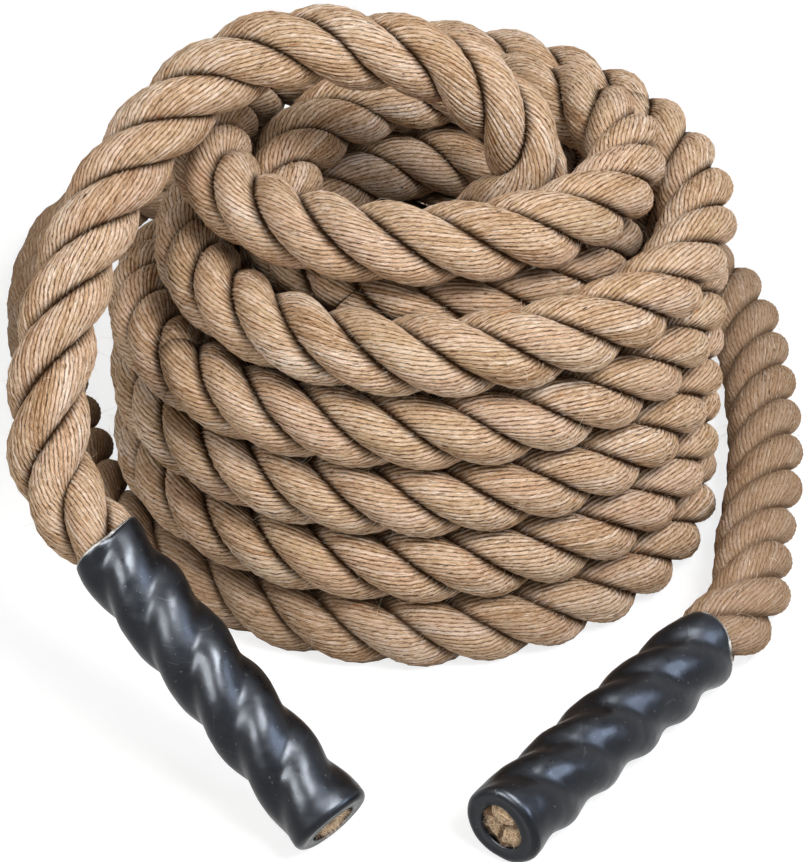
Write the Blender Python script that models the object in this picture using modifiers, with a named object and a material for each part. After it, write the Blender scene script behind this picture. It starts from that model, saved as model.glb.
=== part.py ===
"""Battle rope: a thick three-strand natural rope, wound down and up in a free-standing coil,
with a grip sleeve shrunk over each end.

The frame is in metres with +Z up. The coil's axis starts on the world's Z axis and the whole
rope is moved at the end, so that the origin lies under the middle of its outline.
The front, where the two grips point, is towards -Y.
"""

import math

import bmesh
import bpy
import numpy as np
from mathutils import Matrix, Vector

# Rope
ROPE_DIAMETER = 0.038           # over the crowns of the strands
BEDDING = 0.0016                # how far the crowns sink into the neighbours' grooves
BEDDED_DIAMETER = ROPE_DIAMETER - BEDDING
TURN_CLEARANCE = 0.0005         # left between two turns of the coil
END_GAP = 0.0003                # left between two pieces that touch
FLOOR_FLAT = BEDDED_DIAMETER / 10   # how deep the rope is pressed flat where it lies

# Coil
COIL_RADIUS = 0.1277            # to the rope's middle, where the wall is nearest the front
INNER_RADIUS = 0.0878           # to the rope's middle in the inner column
OUTER_TURNS = 4                 # whole turns of the wall under the gathered top turn
INNER_TURNS = 3                 # whole turns of the column inside the wall
LOOP_POINTS = 24
TURN_PITCH = BEDDED_DIAMETER + TURN_CLEARANCE
COLUMN_SLACK = 0.0004           # more between two turns of the inner column, where they slope
SEAT_HEIGHT = BEDDED_DIAMETER / 2 - FLOOR_FLAT

# Grip sleeves
SLEEVE_LENGTH = 0.160
FILM_SURPLUS = 0.0010           # how much thicker a grip is than the bedded rope
SLEEVE_DIAMETER = BEDDED_DIAMETER + FILM_SURPLUS   # over the crowns of the lobes
SLEEVE_WALL = 0.0016
LOBE_DEPTH = 0.0030             # from a crown to the bottom of a valley
LAY_LENGTH = 0.0930             # one whole twist of a strand round the rope
STRANDS = 3
TIP_ROUNDING = 0.0032           # radius of the rim at the closed end
TIP_HOLE_DIAMETER = 0.0206      # the cut rope shows in it
TIP_CALM_LENGTH = 0.0150        # over which the lobes fade towards the rim
TIP_CALM_SHARE = 0.55           # of the lobe depth that has faded at the rim
SLEEVE_SIDES = 24
SLEEVE_STEPS = 26
RIM_STEPS = 4

# Glue-lining collar that shows at each sleeve's mouth
COLLAR_LENGTH = 0.0010
COLLAR_PROUD = 0.0002           # beyond the sleeve's crowns

# The floor grip's mouth and the direction in which it points, and the same for the leaning grip
FLOOR_GRIP_MOUTH = (0.1320, -0.1481)
FLOOR_GRIP_HEADING = math.radians(-126.7)
LEANING_GRIP_MOUTH = (-0.1355, -0.1737, 0.0935)
LEANING_GRIP_HEADING = math.radians(-44.3)

# One turn of the wall: share of the turn, radius as a share of the coil's, rise as a share of the pitch
WALL_SHARES = (
    (0.00, 1.000, 0.00),
    (0.17, 1.018, 0.00),
    (0.27, 1.030, 0.02),
    (0.40, 1.018, 0.14),
    (0.50, 1.006, 0.33),
    (0.75, 1.000, 0.83),
    (0.86, 1.018, 1.00),
)

# The lead-in of the lowest turn, swinging in from the floor: turns before the front, radius as a share
LEAD_SHARES = (
    (-0.300, 1.465),
    (-0.264, 1.310),
    (-0.217, 1.202),
    (-0.170, 1.105),
    (-0.120, 1.010),
)

# The rope's gathered top: turns after the wall's last front, middle radius and height in metres
TOP_ROUTE = (
    (0.00, 0.1277, 0.1253),
    (0.17, 0.1300, 0.1253),
    (0.27, 0.1315, 0.1261),
    (0.40, 0.1300, 0.1305),
    (0.50, 0.1250, 0.1380),
    (0.62, 0.1105, 0.1478),
    (0.75, 0.1030, 0.1565),
    (0.86, 0.1140, 0.1615),
    (1.00, 0.1266, 0.1628),
    (1.17, 0.1314, 0.1632),
    (1.27, 0.1334, 0.1662),
    (1.40, 0.1315, 0.1746),
    (1.50, 0.1258, 0.1812),
    (1.62, 0.1105, 0.1875),
    (1.75, 0.0945, 0.1960),
    (2.00, 0.0955, 0.2015),
    (2.25, 0.0990, 0.1940),
    (2.50, 0.0845, 0.1830),
    (2.62, 0.0715, 0.1775),
    (2.75, 0.0628, 0.1723),
    (2.87, 0.0733, 0.1673),
    (3.00, 0.0878, 0.1641),
    (3.25, 0.0894, 0.1555),
    (3.50, 0.0832, 0.1453),
    (3.62, 0.0733, 0.1400),
    (3.75, 0.0690, 0.1347),
    (3.87, 0.0803, 0.1307),
)

# The inner column's foot: turns after its last even turn, radius share, height in pitches
FOOT_SHARES = (
    (0.00, 1.000, 1.00),
    (0.25, 1.000, 0.73),
    (0.45, 0.990, 0.35),
    (0.62, 0.975, 0.00),
    (0.75, 0.910, 0.00),
)

# The free rope from the column's foot up through the hole and over in an arch to the leaning grip
ARCH_ROUTE = (
    (-0.0590, -0.0400, 0.0190),
    (-0.0400, -0.0400, 0.0320),
    (-0.0290, -0.0320, 0.0590),
    (-0.0275, -0.0240, 0.0890),
    (-0.0190, -0.0210, 0.1190),
    (0.0010, -0.0220, 0.1440),
    (0.0261, -0.0113, 0.1630),
    (0.0450, -0.0165, 0.1740),
    (0.0550, -0.0131, 0.1880),
    (0.0515, -0.0114, 0.2050),
    (0.0417, -0.0082, 0.2210),
    (0.0268, -0.0093, 0.2360),
    (0.0100, -0.0090, 0.2480),
    (-0.0160, -0.0100, 0.2525),
    (-0.0520, -0.0120, 0.2575),
    (-0.0880, -0.0190, 0.2475),
    (-0.1190, -0.0410, 0.2262),
    (-0.1445, -0.0760, 0.1980),
    (-0.1580, -0.1120, 0.1670),
    (-0.1620, -0.1340, 0.1435),
)

# The free rope on the floor, from the coil's lowest turn round the back to the floor grip: places as
# shares of the coil's radius
FLOOR_SHARES = (
    (-1.4683, 0.7518),
    (-1.5192, 1.0086),
    (-1.5442, 1.2529),
    (-1.5388, 1.5568),
    (-1.4722, 1.8700),
    (-1.3156, 2.1065),
    (-1.0180, 2.2553),
    (-0.6265, 2.3023),
    (-0.1801, 2.2631),
    (0.4777, 2.0673),
    (0.9554, 1.7933),
    (1.2529, 1.4879),
    (1.3508, 1.1903),
    (1.3876, 0.7518),
    (1.3602, 0.0235),
    (1.2670, -0.5247),
)
ARCH_SPACING = 0.0230           # between two points of the arch's tube
FLOOR_SPACING = 0.0380          # between two points of the floor rope's tube
STRETCH_RESOLUTION = 2
COIL_RESOLUTION = 1
ROUTE_STEPS = 24                # readings of the smooth curve between two route points
ROD_SIDES = 16
COLLAR_SIDES = 32
CURVE_POWER = 0.5               # spaces the smooth curve's knots by the root of each distance


def clear_scene():
    for thing in list(bpy.data.objects):
        bpy.data.objects.remove(thing, do_unlink=True)
    for collection in list(bpy.data.collections):
        bpy.data.collections.remove(collection)


def make_material(name, colour, roughness):
    material = bpy.data.materials.new(name)
    material.use_nodes = True
    shader = material.node_tree.nodes["Principled BSDF"]
    shader.inputs["Base Color"].default_value = (*colour, 1.0)
    shader.inputs["Roughness"].default_value = roughness
    shader.inputs["Metallic"].default_value = 0.0
    return material


def eased(keys, values, places):
    """Read a smooth curve through the keys that never overshoots between two of them."""
    keys = np.asarray(keys, float)
    values = np.asarray(values, float)
    steps = np.diff(keys)
    slopes = np.diff(values) / steps
    tangents = np.zeros_like(values)
    tangents[0] = slopes[0]
    tangents[-1] = slopes[-1]
    for i in range(1, len(keys) - 1):
        if slopes[i - 1] * slopes[i] > 0:
            before = 2 * steps[i] + steps[i - 1]
            after = steps[i] + 2 * steps[i - 1]
            tangents[i] = (before + after) / (before / slopes[i - 1] + after / slopes[i])
    spans = np.clip(np.searchsorted(keys, places, side="right") - 1, 0, len(steps) - 1)
    u = (places - keys[spans]) / steps[spans]
    start = (1 + 2 * u) * (1 - u) ** 2 * values[spans]
    finish = u * u * (3 - 2 * u) * values[spans + 1]
    lean_in = u * (1 - u) ** 2 * steps[spans] * tangents[spans]
    lean_out = u * u * (u - 1) * steps[spans] * tangents[spans + 1]
    return start + finish + lean_in + lean_out


def coil_keys():
    """Turn number, radius and height of the coil's middle line, from the floor up and in and down."""
    keys = [(turn, COIL_RADIUS * share, SEAT_HEIGHT) for turn, share in LEAD_SHARES]
    top_start = OUTER_TURNS - 1
    for turn in range(top_start):
        for place, radius_share, rise_share in WALL_SHARES:
            height = SEAT_HEIGHT + TURN_PITCH * (turn + rise_share)
            keys.append((turn + place, COIL_RADIUS * radius_share, height))
    for place, radius, height in TOP_ROUTE:
        keys.append((top_start + place, radius, height))
    column_start = math.ceil(keys[-1][0])
    pitch = TURN_PITCH + COLUMN_SLACK
    for turn in range(INNER_TURNS):
        height = SEAT_HEIGHT + pitch * (INNER_TURNS - turn)
        if turn < INNER_TURNS - 1:
            keys.append((column_start + turn, INNER_RADIUS, height))
        else:
            for place, radius_share, rise_share in FOOT_SHARES:
                keys.append((column_start + turn + place, INNER_RADIUS * radius_share,
                             SEAT_HEIGHT + pitch * rise_share))
    return keys


def coil_points():
    keys = coil_keys()
    turns = [key[0] for key in keys]
    first = math.ceil(turns[0] * LOOP_POINTS)
    last = math.floor(turns[-1] * LOOP_POINTS)
    places = np.arange(first, last + 1) / LOOP_POINTS
    radii = eased(turns, [key[1] for key in keys], places)
    heights = eased(turns, [key[2] for key in keys], places)
    angles = 2 * math.pi * places - math.pi / 2
    return [Vector((r * math.cos(a), r * math.sin(a), z)) for r, a, z in zip(radii, angles, heights)]


def smooth_route(points):
    """Closely spaced readings of a smooth curve through the points."""
    points = [Vector(p) for p in points]
    ends = [points[0] * 2 - points[1]] + points + [points[-1] * 2 - points[-2]]
    readings = []
    for p0, p1, p2, p3 in zip(ends, ends[1:], ends[2:], ends[3:]):
        t1 = (p1 - p0).length ** CURVE_POWER
        t2 = t1 + (p2 - p1).length ** CURVE_POWER
        t3 = t2 + (p3 - p2).length ** CURVE_POWER
        for step in range(ROUTE_STEPS):
            t = t1 + (t2 - t1) * step / ROUTE_STEPS
            a1 = p0 * ((t1 - t) / t1) + p1 * (t / t1)
            a2 = p1 * ((t2 - t) / (t2 - t1)) + p2 * ((t - t1) / (t2 - t1))
            a3 = p2 * ((t3 - t) / (t3 - t2)) + p3 * ((t - t2) / (t3 - t2))
            b1 = a1 * ((t2 - t) / t2) + a2 * (t / t2)
            b2 = a2 * ((t3 - t) / (t3 - t1)) + a3 * ((t - t1) / (t3 - t1))
            readings.append(b1 * ((t2 - t) / (t2 - t1)) + b2 * ((t - t1) / (t2 - t1)))
    readings.append(points[-1])
    return readings


def route_length(points):
    return sum((b - a).length for a, b in zip(points, points[1:]))


def spaced(points, spacing):
    """Points at an even distance along a line of readings, near the spacing, both ends kept."""
    travelled = [0.0]
    for a, b in zip(points, points[1:]):
        travelled.append(travelled[-1] + (b - a).length)
    count = max(1, round(travelled[-1] / spacing))
    places = np.linspace(0, travelled[-1], count + 1)
    columns = [np.interp(places, travelled, [p[axis] for p in points]) for axis in range(3)]
    return [Vector(p) for p in zip(*columns)]


def free_stretch(start, start_direction, route, finish, finish_direction, spacing):
    """Tube points of a free stretch that leaves and arrives straight for one diameter."""
    lead_out = start + start_direction * BEDDED_DIAMETER
    lead_in = finish - finish_direction * BEDDED_DIAMETER
    readings = smooth_route([start, lead_out, *route, lead_in, finish])
    first = next(i for i, p in enumerate(readings) if (p - lead_out).length < END_GAP)
    last = max(i for i, p in enumerate(readings) if (p - lead_in).length < END_GAP)
    return [start] + spaced(readings[first:last + 1], spacing) + [finish]


def add_tube(name, points, diameter, resolution, material, collection):
    curve = bpy.data.curves.new(name, "CURVE")
    curve.dimensions = "3D"
    spline = curve.splines.new("POLY")
    spline.points.add(len(points) - 1)
    for spot, point in zip(spline.points, points):
        spot.co = (*point, 1.0)
    curve.bevel_depth = diameter / 2
    curve.bevel_resolution = resolution
    curve.use_fill_caps = True
    tube = bpy.data.objects.new(name, curve)
    curve.materials.append(material)
    collection.objects.link(tube)
    return tube


def as_mesh(thing, collection):
    """Swap a curve object for a mesh of the same name with its caps welded on."""
    name = thing.name
    depsgraph = bpy.context.evaluated_depsgraph_get()
    mesh = bpy.data.meshes.new_from_object(thing.evaluated_get(depsgraph))
    place = thing.matrix_world.copy()
    bpy.data.objects.remove(thing, do_unlink=True)
    weld = bmesh.new()
    weld.from_mesh(mesh)
    bmesh.ops.remove_doubles(weld, verts=weld.verts, dist=TURN_CLEARANCE / 100)
    bmesh.ops.recalc_face_normals(weld, faces=weld.faces)
    weld.to_mesh(mesh)
    weld.free()
    mesh.name = name
    solid = bpy.data.objects.new(name, mesh)
    solid.matrix_world = place
    collection.objects.link(solid)
    return solid


def press_flat(solid, cutter):
    cut = solid.modifiers.new("pressed_flat", "BOOLEAN")
    cut.operation = "DIFFERENCE"
    cut.object = cutter


def add_floor_cutter(points, collection):
    """A slab under the floor, wider than everything that lies on it."""
    reach = max(max(abs(p.x), abs(p.y)) for p in points) + BEDDED_DIAMETER
    shape = bmesh.new()
    bmesh.ops.create_cube(shape, size=1.0)
    bmesh.ops.scale(shape, vec=(2 * reach, 2 * reach, BEDDED_DIAMETER), verts=shape.verts)
    mesh = bpy.data.meshes.new("floor_cutter")
    shape.to_mesh(mesh)
    shape.free()
    cutter = bpy.data.objects.new("floor_cutter", mesh)
    cutter.location = (0, 0, -BEDDED_DIAMETER / 2)
    cutter.hide_render = True
    cutter.display_type = "WIRE"
    collection.objects.link(cutter)
    return cutter


def lobe_radius(crown, depth, angle):
    """Radius of the film that is shrunk over the strands: full crowns and soft valleys."""
    swell = math.sqrt(0.5 + 0.5 * math.cos(STRANDS * angle))
    return crown - depth * (1 - swell)


def sleeve_rings():
    """Distance from the mouth, crown radius and lobe depth of each ring of the film, out along its
    outer side, round the rim to the hole, and back along its inner side."""
    crown = SLEEVE_DIAMETER / 2
    calm_depth = LOBE_DEPTH * (1 - TIP_CALM_SHARE)
    straight = SLEEVE_LENGTH - TIP_ROUNDING
    sides = []
    for step in range(SLEEVE_STEPS + 1):
        along = straight * step / SLEEVE_STEPS
        fade = max(0.0, 1 - (straight - along) / TIP_CALM_LENGTH)
        sides.append((along, LOBE_DEPTH * (1 - TIP_CALM_SHARE * fade)))
    rings = [(along, crown, depth) for along, depth in sides]
    for step in range(1, RIM_STEPS + 1):
        turn = math.pi / 2 * step / RIM_STEPS
        rings.append((straight + TIP_ROUNDING * math.sin(turn),
                      crown - TIP_ROUNDING * (1 - math.cos(turn)), calm_depth))
    rings.append((SLEEVE_LENGTH, TIP_HOLE_DIAMETER / 2, 0.0))
    rings.append((SLEEVE_LENGTH - SLEEVE_WALL, TIP_HOLE_DIAMETER / 2, 0.0))
    rings.append((SLEEVE_LENGTH - SLEEVE_WALL, crown - TIP_ROUNDING, calm_depth))
    rings += [(along, crown - SLEEVE_WALL, depth) for along, depth in reversed(sides)]
    return rings


def add_sleeve(name, material, collection):
    """The twisted three-lobed film, a loft between unlike rings; its mouth is at the origin and it
    points along +X."""
    skin = bmesh.new()
    loops = []
    for along, crown, depth in sleeve_rings():
        twist = 2 * math.pi * along / LAY_LENGTH
        loop = []
        for side in range(SLEEVE_SIDES):
            angle = 2 * math.pi * side / SLEEVE_SIDES
            radius = lobe_radius(crown, depth, angle)
            loop.append(skin.verts.new((along, radius * math.cos(angle + twist),
                                        radius * math.sin(angle + twist))))
        loops.append(loop)
    for near, far in zip(loops, loops[1:] + loops[:1]):
        for side in range(SLEEVE_SIDES):
            after = (side + 1) % SLEEVE_SIDES
            skin.faces.new((near[side], near[after], far[after], far[side]))
    bmesh.ops.recalc_face_normals(skin, faces=skin.faces)
    mesh = bpy.data.meshes.new(name)
    skin.to_mesh(mesh)
    skin.free()
    mesh.shade_smooth()
    mesh.materials.append(material)
    sleeve = bpy.data.objects.new(name, mesh)
    collection.objects.link(sleeve)
    return sleeve


def add_rod(name, material, collection):
    """The rope inside a sleeve, squeezed to the bottom of the valleys, out to its cut face."""
    radius = SLEEVE_DIAMETER / 2 - LOBE_DEPTH - SLEEVE_WALL - 2 * END_GAP
    start = -COLLAR_LENGTH - END_GAP
    finish = SLEEVE_LENGTH - SLEEVE_WALL - END_GAP
    shape = bmesh.new()
    bmesh.ops.create_cone(shape, cap_ends=True, segments=ROD_SIDES, radius1=radius, radius2=radius,
                          depth=finish - start)
    bmesh.ops.rotate(shape, verts=shape.verts, matrix=Matrix.Rotation(math.pi / 2, 3, "Y"))
    bmesh.ops.translate(shape, verts=shape.verts, vec=((start + finish) / 2, 0, 0))
    mesh = bpy.data.meshes.new(name)
    shape.to_mesh(mesh)
    shape.free()
    mesh.materials.append(material)
    rod = bpy.data.objects.new(name, mesh)
    collection.objects.link(rod)
    return rod, radius


def add_collar(name, bore, material, collection):
    """The thin pale edge of glue lining between the sleeve's mouth and the free rope."""
    outer = SLEEVE_DIAMETER / 2 + COLLAR_PROUD
    profile = bmesh.new()
    corners = [(outer, -END_GAP), (outer, -END_GAP - COLLAR_LENGTH),
               (bore, -END_GAP - COLLAR_LENGTH), (bore, -END_GAP)]
    verts = [profile.verts.new((across, 0, along)) for across, along in corners]
    for a, b in zip(verts, verts[1:] + verts[:1]):
        profile.edges.new((a, b))
    mesh = bpy.data.meshes.new(name)
    profile.to_mesh(mesh)
    profile.free()
    mesh.materials.append(material)
    collar = bpy.data.objects.new(name, mesh)
    turn = collar.modifiers.new("turned", "SCREW")
    turn.axis = "Z"
    turn.steps = COLLAR_SIDES
    turn.render_steps = COLLAR_SIDES
    turn.use_merge_vertices = True
    turn.merge_threshold = TURN_CLEARANCE / 100
    collection.objects.link(collar)
    return collar


def place_grip(mouth, direction, pieces, turned_piece):
    """Stand the grip's pieces on its mouth, pointing along the direction."""
    sideways = Vector((0, 0, 1)).cross(direction).normalized()
    upward = direction.cross(sideways)
    frame = Matrix((direction, sideways, upward)).transposed().to_4x4()
    frame.translation = mouth
    for piece in pieces:
        piece.matrix_world = frame
    turned_frame = Matrix((sideways, upward, direction)).transposed().to_4x4()
    turned_frame.translation = mouth
    turned_piece.matrix_world = turned_frame


def least_gap(points, diameter):
    """Least clear distance between parts of the coil that aren't neighbours along it."""
    line = np.array([tuple(p) for p in points])
    fine = np.concatenate([line[:-1] + (line[1:] - line[:-1]) * share
                           for share in (0, 1 / 3, 2 / 3)], axis=1).reshape(-1, 3)
    along = np.concatenate(([0], np.cumsum(np.linalg.norm(np.diff(fine, axis=0), axis=1))))
    apart = np.linalg.norm(fine[:, None, :] - fine[None, :, :], axis=2)
    apart[np.abs(along[:, None] - along[None, :]) < 2 * diameter] = np.inf
    where = np.unravel_index(np.argmin(apart), apart.shape)
    return apart[where] - diameter, where


def build():
    clear_scene()
    parts = bpy.data.collections.new("battle_rope")
    cutters = bpy.data.collections.new("cutters")
    bpy.context.scene.collection.children.link(parts)
    bpy.context.scene.collection.children.link(cutters)
    rope = make_material("natural_fibre_rope", (0.42, 0.27, 0.15), 0.95)
    cut_end = make_material("cut_rope_end", (0.36, 0.22, 0.12), 0.95)
    film = make_material("shrunk_film", (0.012, 0.013, 0.017), 0.32)
    glue = make_material("glue_lining", (0.60, 0.57, 0.52), 0.55)

    coil = coil_points()
    coil_start = (coil[0] - coil[1]).normalized()
    coil_finish = (coil[-1] - coil[-2]).normalized()

    sleeve_radius = SLEEVE_DIAMETER / 2
    floor_mouth = Vector((*FLOOR_GRIP_MOUTH, sleeve_radius + COLLAR_PROUD + END_GAP))
    floor_direction = Vector((math.cos(FLOOR_GRIP_HEADING), math.sin(FLOOR_GRIP_HEADING), 0))
    leaning_mouth = Vector(LEANING_GRIP_MOUTH)
    dip = (math.asin((leaning_mouth.z - END_GAP) / math.hypot(SLEEVE_LENGTH, sleeve_radius))
           - math.atan(sleeve_radius / SLEEVE_LENGTH))
    leaning_direction = Vector((math.cos(LEANING_GRIP_HEADING) * math.cos(dip),
                                math.sin(LEANING_GRIP_HEADING) * math.cos(dip),
                                -math.sin(dip)))

    step_back = COLLAR_LENGTH + 2 * END_GAP
    floor_rope_end = floor_mouth - floor_direction * step_back
    arch_end = leaning_mouth - leaning_direction * step_back
    arch = free_stretch(coil[-1] + coil_finish * END_GAP, coil_finish, ARCH_ROUTE,
                        arch_end, leaning_direction, ARCH_SPACING)
    floor_route = [(COIL_RADIUS * x, COIL_RADIUS * y, SEAT_HEIGHT) for x, y in FLOOR_SHARES]
    floor = free_stretch(coil[0] + coil_start * END_GAP, coil_start, floor_route,
                         floor_rope_end, floor_direction, FLOOR_SPACING)

    coil_tube = add_tube("rope_coil", coil, BEDDED_DIAMETER, COIL_RESOLUTION, rope, parts)
    arch_tube = add_tube("rope_arch_stretch", arch, BEDDED_DIAMETER, STRETCH_RESOLUTION, rope, parts)
    floor_tube = add_tube("rope_floor_stretch", floor, BEDDED_DIAMETER, STRETCH_RESOLUTION, rope, parts)
    cutter = add_floor_cutter(coil + arch + floor, cutters)
    for tube in (coil_tube, arch_tube, floor_tube):
        press_flat(as_mesh(tube, parts), cutter)

    for side, mouth, direction in (("leaning", leaning_mouth, leaning_direction),
                                   ("floor", floor_mouth, floor_direction)):
        sleeve = add_sleeve(side + "_grip_sleeve", film, parts)
        rod, rod_radius = add_rod(side + "_rope_end", cut_end, parts)
        collar = add_collar(side + "_glue_collar", rod_radius + END_GAP, glue, parts)
        place_grip(mouth, direction, (sleeve, rod), collar)

    gap, where = least_gap(coil, BEDDED_DIAMETER)
    length = route_length(coil) + route_length(arch) + route_length(floor) + 2 * SLEEVE_LENGTH
    print("coil: %d points, least gap to itself %.2f mm at %s" % (len(coil), gap * 1000, str(where)))
    print("free stretches: %d and %d points" % (len(arch), len(floor)))
    print("rope length %.3f m" % length)

    bpy.context.view_layer.update()
    centre_under_origin(parts)


def centre_under_origin(parts):
    """Move the whole rope so that the origin lies on the floor under the middle of its outline."""
    depsgraph = bpy.context.evaluated_depsgraph_get()
    corners = []
    for thing in parts.objects:
        evaluated = thing.evaluated_get(depsgraph)
        mesh = evaluated.to_mesh()
        corners += [thing.matrix_world @ vert.co for vert in mesh.vertices]
        evaluated.to_mesh_clear()
    low = Vector(min(c[axis] for c in corners) for axis in range(3))
    high = Vector(max(c[axis] for c in corners) for axis in range(3))
    shift = Vector((-(low.x + high.x) / 2, -(low.y + high.y) / 2, 0))
    holder = bpy.data.objects.new("battle_rope_place", None)
    holder.location = shift
    parts.objects.link(holder)
    for thing in list(parts.objects):
        if thing != holder:
            thing.parent = holder
    bpy.context.view_layer.update()
    size = (high - low) * 1000
    print("outline %.1f x %.1f x %.1f mm, lowest point %.3f mm" % (size.x, size.y, size.z, low.z * 1000))
    print("moved by %.5f, %.5f" % (shift.x, shift.y))


build()
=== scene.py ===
"""Looks of the battle rope: three laid strands of natural yarn, stray fibres, and two shrunk grips."""

from math import asin, atan, ceil, cos, floor, hypot, pi, radians, sin, sqrt

import bmesh
import bpy
import numpy as np
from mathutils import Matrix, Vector, noise


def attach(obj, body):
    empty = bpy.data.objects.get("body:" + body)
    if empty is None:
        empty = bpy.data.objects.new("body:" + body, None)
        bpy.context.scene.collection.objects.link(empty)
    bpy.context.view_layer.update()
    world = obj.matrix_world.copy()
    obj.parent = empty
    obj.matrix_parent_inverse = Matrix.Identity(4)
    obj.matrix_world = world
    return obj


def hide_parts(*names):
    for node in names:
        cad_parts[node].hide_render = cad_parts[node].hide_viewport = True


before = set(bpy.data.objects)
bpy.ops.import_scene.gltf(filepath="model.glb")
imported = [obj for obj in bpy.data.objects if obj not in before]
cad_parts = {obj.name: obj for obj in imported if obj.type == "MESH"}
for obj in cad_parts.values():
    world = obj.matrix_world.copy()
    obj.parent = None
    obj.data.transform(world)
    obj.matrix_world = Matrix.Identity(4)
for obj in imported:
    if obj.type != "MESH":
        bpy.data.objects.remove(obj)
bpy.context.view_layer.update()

TURN = 2 * pi

# ---- sizes of the rope and its route
PLACE = Vector((0.00988, -0.01293, 0.0))  # from the coil's axis to the row's origin

ROPE_DIAMETER = 0.038
BEDDED_DIAMETER = 0.0364
TURN_CLEARANCE = 0.0005
END_GAP = 0.0003
FLOOR_FLAT = BEDDED_DIAMETER / 10
COIL_RADIUS = 0.1277
INNER_RADIUS = 0.0878
OUTER_TURNS = 4
INNER_TURNS = 3
TURN_PITCH = BEDDED_DIAMETER + TURN_CLEARANCE
COLUMN_SLACK = 0.0004
SEAT_HEIGHT = BEDDED_DIAMETER / 2 - FLOOR_FLAT
SLEEVE_LENGTH = 0.160
SLEEVE_DIAMETER = 0.0374
LAY_LENGTH = 0.0930
TIP_HOLE_DIAMETER = 0.0206
COLLAR_LENGTH = 0.0010
COLLAR_PROUD = 0.0002
FLOOR_GRIP_MOUTH = (0.1320, -0.1481)
FLOOR_GRIP_HEADING = radians(-126.7)
LEANING_GRIP_MOUTH = (-0.1355, -0.1737, 0.0935)
LEANING_GRIP_HEADING = radians(-44.3)

WALL_SHARES = (
    (0, 1, 0), (0.17, 1.018, 0), (0.27, 1.03, 0.02), (0.4, 1.018, 0.14),
    (0.5, 1.006, 0.33), (0.75, 1, 0.83), (0.86, 1.018, 1),
)
LEAD_SHARES = (
    (-0.3, 1.465), (-0.264, 1.31), (-0.217, 1.202), (-0.17, 1.105), (-0.12, 1.01),
)
TOP_ROUTE = (
    (0, 0.1277, 0.1253), (0.17, 0.13, 0.1253), (0.27, 0.1315, 0.1261), (0.4, 0.13, 0.1305),
    (0.5, 0.125, 0.138), (0.62, 0.1105, 0.1478), (0.75, 0.103, 0.1565), (0.86, 0.114, 0.1615),
    (1, 0.1266, 0.1628), (1.17, 0.1314, 0.1632), (1.27, 0.1334, 0.1662), (1.4, 0.1315, 0.1746),
    (1.5, 0.1258, 0.1812), (1.62, 0.1105, 0.1875), (1.75, 0.0945, 0.196), (2, 0.0955, 0.2015),
    (2.25, 0.099, 0.194), (2.5, 0.0845, 0.183), (2.62, 0.0715, 0.1775), (2.75, 0.0628, 0.1723),
    (2.87, 0.0733, 0.1673), (3, 0.0878, 0.1641), (3.25, 0.0894, 0.1555), (3.5, 0.0832, 0.1453),
    (3.62, 0.0733, 0.14), (3.75, 0.069, 0.1347), (3.87, 0.0803, 0.1307),
)
FOOT_SHARES = (
    (0, 1, 1), (0.25, 1, 0.73), (0.45, 0.99, 0.35), (0.62, 0.975, 0), (0.75, 0.91, 0),
)
ARCH_ROUTE = (
    (-0.059, -0.04, 0.019), (-0.04, -0.04, 0.032), (-0.029, -0.032, 0.059),
    (-0.0275, -0.024, 0.089), (-0.019, -0.021, 0.119), (0.001, -0.022, 0.144),
    (0.0261, -0.0113, 0.163), (0.045, -0.0165, 0.174), (0.055, -0.0131, 0.188),
    (0.0515, -0.0114, 0.205), (0.0417, -0.0082, 0.221), (0.0268, -0.0093, 0.236),
    (0.01, -0.009, 0.248), (-0.016, -0.01, 0.2525), (-0.052, -0.012, 0.2575),
    (-0.088, -0.019, 0.2475), (-0.119, -0.041, 0.2262), (-0.1445, -0.076, 0.198),
    (-0.158, -0.112, 0.167), (-0.162, -0.134, 0.1435),
)
FLOOR_SHARES = (
    (-1.4683, 0.7518), (-1.5192, 1.0086), (-1.5442, 1.2529), (-1.5388, 1.5568),
    (-1.4722, 1.87), (-1.3156, 2.1065), (-1.018, 2.2553), (-0.6265, 2.3023),
    (-0.1801, 2.2631), (0.4777, 2.0673), (0.9554, 1.7933), (1.2529, 1.4879),
    (1.3508, 1.1903), (1.3876, 0.7518), (1.3602, 0.0235), (1.267, -0.5247),
)

# The laid rope
STRANDS = 3
STRAND_RADIUS = 0.0093
STRAND_OFFSET = ROPE_DIAMETER / 2 - STRAND_RADIUS
STRAND_LEAN = TURN * STRAND_OFFSET / LAY_LENGTH
STRAND_COSINE = 1 / sqrt(1 + STRAND_LEAN * STRAND_LEAN)
YARNS = 25
YARN_DEPTH = 0.00055
YARN_LAY = 0.092
YARN_TURNS_PER_METRE = STRAND_COSINE / LAY_LENGTH + 1 / (YARN_LAY * STRAND_COSINE)
YARN_UNEVENNESS = 0.0011
STRAND_UNEVENNESS = 0.10
UV_ROUND = 0.058  # once round a strand, in the pattern's own metres
POINTS_PER_YARN = 4
STATION = 0.0047  # between two rings of a strand
HIDDEN_STATION = 0.008  # the same where the rope can't be seen
LOWEST_ROPE = 0.0006
FLOOR_SOFTNESS = 0.0012
FLOOR_LIFT = 0.0014
FINE_STEP = 0.002  # between two points of the rope's line
KINK_WIDTH = 0.009  # over which its kinks are rounded off
FLOOR_GRIP_TWIST = 0.080  # turns by which the lay runs on into the floor grip
GRIP_GIRTH = 0.86  # how far a sleeve squeezes the rope
SEED = 7
FUZZ_PER_SQUARE_METRE = 31000.0
TUFTS_PER_SQUARE_METRE = 3600000.0

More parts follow.
